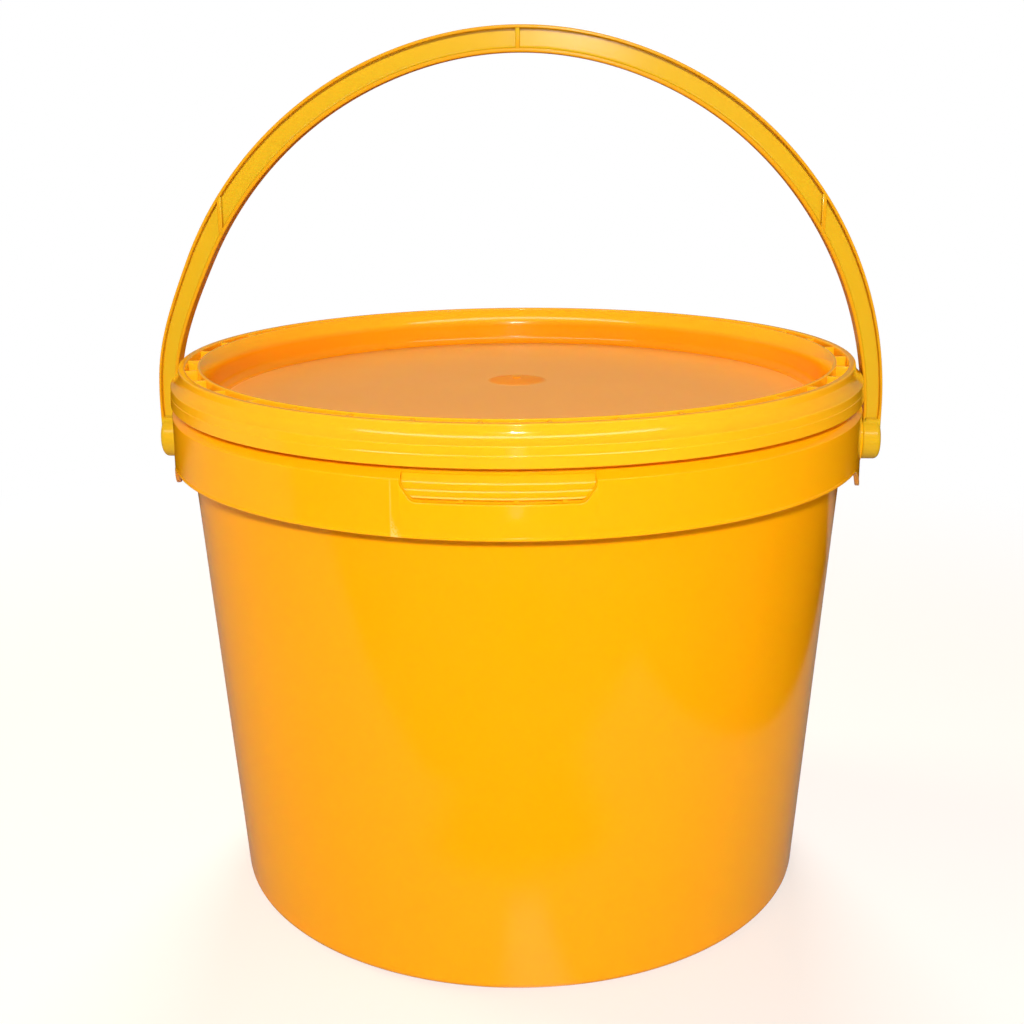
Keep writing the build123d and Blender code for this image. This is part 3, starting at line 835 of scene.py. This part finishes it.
bail = {
    "armGap": 0.6, "armDepth": 5.8, "armEnd": 1.0, "armStep": 4.0, "springDrop": 12.15, "innerDrop": 5.2,
    "innerRise": 2.8, "width": 7.0, "web": 2.6, "webSlope": 0.3, "webRound": 0.7,
    "outerFlange": 1.0, "innerFlange": 1.2, "flangeRound": 0.3, "edgeRound": 0.5,
    "ribWidth": 1.4, "ribInset": 0.1, "ribRoot": 1.0, "ribRound": 0.2, "gripAngle": 33.3,
    "pocketGap": 0.7, "pocketStep": 0.5, "bossRadius": 6.8, "bossGap": 0.3, "bossRound": 0.7,
    "endRound": 1.6, "endInset": 0.04, "pinRadius": 3.0, "pinRound": 0.1, "pinLip": 1.1,
    "pinHead": 1.6, "pinHeadGap": 0.3, "headDraft": 0.5, "headTaper": 0.8, "headRound": 0.3, "headBack": 0.2,
    "crease": 40, "stations": 150, "flex": 2.3, "flexFrom": 171.0, "flexFull": 208.0, "flexSide": 45.0,
}
bailFinish = {
    "tone": (0.62, 0.38, 0.01), "deepTone": (0.68, 0.295, 0.003), "shadeShare": 0.05, "flangeShadeShare": 0.8,
    "roughness": 0.2, "scuffs": 0.15, "peel": 0.008, "specular": 0.4, "subsurface": 0.1,
}


def easy(value):
    share = min(max(value, 0), 1)
    return share * share * (3 - 2 * share)


def bailSection(depth, solid):
    half, web = bail["width"] / 2, bail["web"] / 2
    edge, flange = bail["edgeRound"], bail["flangeRound"]
    low, high = bail["innerFlange"], depth - bail["outerFlange"]
    front = roundedLine([
        (0, 0), (0, half, edge), (low, half, flange), (low + bail["webSlope"], web, bail["webRound"]),
        (high, web, flange), (high, half, flange), (depth, half, edge), (depth, 0),
    ])
    if solid:
        # the same points, with the hollow between the flanges filled
        front = [Vector((p.x, half if low - 0.5 < p.x < high + 0.5 and p.y < half else p.y)) for p in front]
    return front + [Vector((p.x, -p.y)) for p in reversed(front[1:-1])]


def makeBail():
    material, tone = startPlastic("bailPlastic", bailFinish)[:2]
    tree = material.node_tree
    # painted shade: the flanges take a larger share of the deeper tone than the web
    flange = addNode(tree, "ShaderNodeAttribute", attribute_name="flange").outputs["Fac"]
    feed(tree, tone.inputs["Painted Shade"], mapped(tree, flange, 0.0, 1.0, bailFinish["shadeShare"], bailFinish["flangeShadeShare"]))
    innerRadius = collarRadius(pinHeight) + pail["earBossProud"] + bail["armGap"]
    outerRadius = innerRadius + bail["armDepth"]
    outerCentre = skirtTop - bail["springDrop"]
    innerCentre = outerCentre - bail["innerDrop"]
    innerHeight = innerRadius + bail["innerRise"]
    pocketBottom = pinHeight + bail["bossRadius"] + bail["pocketGap"]
    # pairs of inner and outer points up one arm, over the arch and down the other arm
    armHeights = (pinHeight - bail["armEnd"], pinHeight + bail["armStep"],
                  pocketBottom - bail["pocketStep"], pocketBottom)
    arm = [(Vector((innerRadius, z)), Vector((outerRadius, z)), z < pocketBottom) for z in armHeights]
    stations = list(arm)
    for k in range(bail["stations"] + 1):
        angle = math.pi * k / bail["stations"]
        inner = Vector((innerRadius * math.cos(angle), innerCentre + innerHeight * math.sin(angle)))
        outer = Vector((outerRadius * math.cos(angle), outerCentre + outerRadius * math.sin(angle)))
        stations.append((inner, outer, False))
    stations += [(Vector((-a.x, a.y)), Vector((-b.x, b.y)), solid) for a, b, solid in reversed(arm)]
    points, faces = [], []
    for inner, outer, solid in stations:
        across = outer - inner
        ring = bailSection(across.length, solid)
        across.normalize()
        for spot in ring:
            place = inner + across * spot.x
            points.append((place.x, spot.y, place.y))
    count = len(ring)
    for station in range(len(stations) - 1):
        a, b = station * count, (station + 1) * count
        for k in range(count):
            after = (k + 1) % count
            faces.append((a + k, a + after, b + after, b + k))
    pieces = [settle(newPiece("bailArch", meshFrom("bailArch", points, faces)), bail["crease"])]
    offset = (innerRadius + outerRadius) / 2 * math.cos(math.radians(bail["gripAngle"]))
    halfRib, ribFace = bail["ribWidth"] / 2, bail["width"] / 2 - bail["ribInset"]
    for x in (-offset, 0, offset):
        low = innerCentre + innerHeight * math.sqrt(1 - (x / innerRadius) ** 2) + bail["ribRoot"]
        high = outerCentre + math.sqrt(outerRadius ** 2 - x ** 2) - bail["ribRoot"]
        pieces.append(block("bailRib", (x - halfRib, -ribFace, low), (x + halfRib, ribFace, high), bail["ribRound"]))
    bossFace = innerRadius - bail["armGap"] + bail["bossGap"]
    endFace = outerRadius - bail["endInset"]
    headFace = collarRadius(pinHeight) - pail["collarThickness"] - bail["pinHeadGap"]
    headEnd = headFace - bail["pinHead"]
    headRadius = pail["pinHole"] + bail["pinLip"]
    pin = roundedLine([
        (headEnd, 0), (headEnd, headRadius - bail["headDraft"], bail["headRound"]),
        (headEnd + bail["headTaper"], headRadius, bail["headRound"]), (headFace, headRadius, bail["headBack"]),
        (headFace, bail["pinRadius"], bail["pinRound"]), (bossFace, bail["pinRadius"], bail["pinRound"]),
        (bossFace, bail["bossRadius"], bail["bossRound"]), (endFace, bail["bossRadius"], bail["endRound"]),
        (endFace, 0),
    ])
    pieces += [turnedAlongPin("bailEnd", pin, side) for side in (-1, 1)]
    piece = settle(joined("bailHandle", pieces), bail["crease"])
    piece.data.materials.append(material)
    # marks the two flanges for their painted shade, then bends the arch a little: its left half leans in, as on a
    # used pail
    marks = piece.data.attributes.new("flange", "FLOAT", "POINT")
    for vertex, mark in zip(piece.data.vertices, marks.data):
        x, z = vertex.co.x / mm, vertex.co.z / mm
        fromOuter = outerRadius - math.hypot(x, max(z - outerCentre, 0))
        fromInner = math.hypot(x, max(z - innerCentre, 0) * innerRadius / innerHeight) - innerRadius
        inFlange = fromOuter < bail["outerFlange"] or fromInner < bail["innerFlange"]
        mark.value = 1.0 if inFlange and z > pocketBottom else 0.0
        height = easy((z - bail["flexFrom"]) / (bail["flexFull"] - bail["flexFrom"]))
        side = easy((bail["flexSide"] - x) / (2 * bail["flexSide"]))
        vertex.co.x += bail["flex"] * height * side * mm
    return piece


bailHandle = makeBail()
print("bail made:", len(bailHandle.data.polygons), "faces")

for piece, body, node, slot in (
    (pailShell, "pail", "pail", "pail_plastic"), (pailGussets, "pail", "pail", "pail_plastic"),
    (lidShell, "lid", "lid", "lid_plastic"), (lidRibs, "lid", "lid", "lid_plastic"),
    (tearTab, "tab", "tear_tab", "tab_plastic"), (bailHandle, "bail", "bail_handle", "bail_plastic"),
):
    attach(piece, body)
    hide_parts(node)


# floor, light and camera

studio = {
    "floorHalf": 8.0, "floorTone": 0.6, "nearLift": 0.35, "nearReach": 0.24, "farReach": 0.6,
    "ambient": 0.2, "fillTone": (1.0, 0.78, 0.5), "mirrored": 0.16, "patchMirrored": 0.22, "poolMirrored": 0.6,
}
# edges of the painted reflections on the floor, which only the gloss sees
mirroredPaint = {
    "middle": -0.08, "front": -0.193, "frontFade": 0.008, "slant": 0.17, "back": 0.4, "backFade": 0.05,
    "right": 0.206, "rightFade": 0.004, "lean": 0.11, "bend": 0.28, "flare": 2.0,
    "notchHalf": 0.066, "notchSide": 0.025, "notchFront": -0.151, "notchFade": 0.012,
    "poolX": 0.01, "poolHalf": 0.01, "poolSide": 0.006, "poolFade": 0.025,
}
lamps = [
    # name, place, aim, width, height, watts, seen in the gloss, lights the surfaces
    ("frontSoft", (0.06, -1.33, 0.81), (0, 0, 0.12), 0.16, 0.14, 21.7, False, True),
    ("backSoft", (0.0, 1.2, 1.07), (0, 0, 0.12), 0.6, 0.5, 12.5, False, True),
    ("leftSoft", (-1.36, 0.5, 0.51), (0, 0, 0.12), 0.6, 0.5, 12.0, False, True),
    ("rightSoft", (1.4, -0.38, 0.51), (0, 0, 0.12), 0.6, 0.5, 2.4, False, True),
    ("edgeBar", (0.0, -1.0, 1.0), (0, 0, 0.16), 2.4, 0.2, 7.9, True, False),
    ("flash", (0.021, -0.47, 0.33), (0, 0, 0.16), 0.01, 0.03, 0.25, True, True),
    ("strip", (0.021, -0.5, 0.23), (0, 0, 0.23), 0.02, 0.24, 0.03, True, True),
]
view = {
    "place": (0.021461, -0.460210, 0.254864), "pitch": 16.079, "pan": -0.241, "roll": -0.476, "turn": 2.67,
    "lens": 49.02, "sensor": 36.0, "clip": (0.01, 50.0),
}


def mirroredFloor(tree, spot):
    # mirrored in the plastic the floor is dim, but for painted reflections: a pale patch round the pail,
    # with a dark notch of painted shadow in front of it, and a bright painted pool at its foot
    def upTo(value, edge, fade):
        return mapped(tree, value, edge - fade, edge + fade, 1.0, 0.0)

    def offFrom(value, middle):
        return calc(tree, "ABSOLUTE", minus(tree, value, middle))

    x, y = spot["X"], spot["Y"]
    slant = plus(tree, y, times(tree, offFrom(x, mirroredPaint["middle"]), mirroredPaint["slant"]))
    behind = mapped(tree, slant, mirroredPaint["front"] - mirroredPaint["frontFade"], mirroredPaint["front"] + mirroredPaint["frontFade"])
    # its right edge leans outward, and more so behind the pail
    beyond = calc(tree, "MAXIMUM", minus(tree, y, mirroredPaint["bend"]), 0.0)
    lean = plus(tree, times(tree, y, mirroredPaint["lean"]), times(tree, beyond, mirroredPaint["flare"]))
    inPaintedPatch = times(tree, behind, upTo(y, mirroredPaint["back"], mirroredPaint["backFade"]),
                    upTo(minus(tree, x, lean), mirroredPaint["right"], mirroredPaint["rightFade"]))
    fromPool = offFrom(x, mirroredPaint["poolX"])
    inPaintedShadow = times(tree, upTo(fromPool, mirroredPaint["notchHalf"], mirroredPaint["notchSide"]),
                    upTo(y, mirroredPaint["notchFront"], mirroredPaint["notchFade"]))
    inPaintedPool = times(tree, upTo(fromPool, mirroredPaint["poolHalf"], mirroredPaint["poolSide"]),
                   mapped(tree, y, mirroredPaint["notchFront"], mirroredPaint["notchFront"] + mirroredPaint["poolFade"]))
    pale = times(tree, inPaintedPatch, minus(tree, 1.0, inPaintedShadow), studio["patchMirrored"])
    return plus(tree, pale, times(tree, inPaintedPool, studio["poolMirrored"]))


def makeFloor():
    half = studio["floorHalf"]
    mesh = bpy.data.meshes.new("floor")
    mesh.from_pydata([(-half, -half, 0), (half, -half, 0), (half, half, 0), (-half, half, 0)], [], [(0, 1, 2, 3)])
    floor = newPiece("floor", mesh)
    material = bpy.data.materials.new("paleFloor")
    material.use_nodes = True
    tree = material.node_tree
    tree.nodes.clear()

    def glow(strength):
        return addNode(tree, "ShaderNodeEmission", {"Strength": strength}).outputs[0]

    def mixed(share, first, second):
        return addNode(tree, "ShaderNodeMixShader", {0: share, 1: first, 2: second}).outputs[0]

    distance, spot = axisDistance(tree)
    path = addNode(tree, "ShaderNodeLightPath").outputs
    paper = addNode(tree, "ShaderNodeBsdfDiffuse", {"Color": (studio["floorTone"],) * 3 + (1.0,)}).outputs[0]
    near = addNode(tree, "ShaderNodeAddShader", {0: paper, 1: glow(studio["nearLift"])}).outputs[0]
    away = mapped(tree, distance, studio["nearReach"], studio["farReach"])
    seen = mixed(away, near, glow(1.0))
    bounced = mixed(path["Is Glossy Ray"], paper, glow(mirroredFloor(tree, spot)))
    addNode(tree, "ShaderNodeOutputMaterial", {"Surface": mixed(path["Is Camera Ray"], bounced, seen)})
    mesh.materials.append(material)


def makeWorld():
    world = bpy.data.worlds.new("studioAir")
    world.use_nodes = True
    scene.world = world
    tree = world.node_tree
    back = tree.nodes["Background"]
    path = addNode(tree, "ShaderNodeLightPath").outputs
    direct, gloss = path["Is Camera Ray"], path["Is Glossy Ray"]
    around = mapped(tree, gloss, 0.0, 1.0, studio["ambient"], studio["mirrored"], smooth=False)
    feed(tree, back.inputs["Strength"], calc(tree, "MAXIMUM", direct, around))
    # the fill is warm, as light that has been through the plastic; what is seen or mirrored stays white
    seen = calc(tree, "MAXIMUM", direct, gloss)
    feed(tree, back.inputs["Color"], mixedColour(tree, seen, (*studio["fillTone"], 1.0), (1.0, 1.0, 1.0, 1.0)))


def makeLamps():
    for name, place, aim, width, height, watts, inGloss, inDiffuse in lamps:
        light = bpy.data.lights.new(name, "AREA")
        light.shape = "RECTANGLE"
        light.size, light.size_y = width, height
        light.energy = watts
        if name in ("leftSoft", "rightSoft"):
            light.color = studio["fillTone"]
        lamp = bpy.data.objects.new(name, light)
        lamp.visible_glossy = inGloss
        lamp.visible_diffuse = inDiffuse
        lamp.visible_camera = False
        scene.collection.objects.link(lamp)
        lamp.location = place
        lamp.rotation_mode = "QUATERNION"
        lamp.rotation_quaternion = (Vector(aim) - Vector(place)).to_track_quat("-Z", "Y")


def makeCamera():
    pitch, pan, roll = (math.radians(view[key]) for key in ("pitch", "pan", "roll"))
    ahead = Vector((math.sin(pan) * math.cos(pitch), math.cos(pan) * math.cos(pitch), -math.sin(pitch)))
    right = ahead.cross(Vector((0, 0, 1))).normalized()
    up = right.cross(ahead)
    across = math.cos(roll) * right + math.sin(roll) * up
    above = math.cos(roll) * up - math.sin(roll) * right
    frameTurn = Matrix.Rotation(math.radians(view["turn"]), 3, "Z")
    axes = [frameTurn @ axis for axis in (across, above, -ahead)]
    data = bpy.data.cameras.new("photoView")
    data.sensor_width = view["sensor"]
    data.lens = view["lens"]
    data.clip_start, data.clip_end = view["clip"]
    camera = bpy.data.objects.new("photoView", data)
    scene.collection.objects.link(camera)
    matrix = Matrix(axes).transposed().to_4x4()
    matrix.translation = Vector(view["place"])
    camera.matrix_world = matrix
    scene.camera = camera


makeFloor()
makeWorld()
makeLamps()
makeCamera()
scene.view_settings.view_transform = "Standard"
print("stage set")
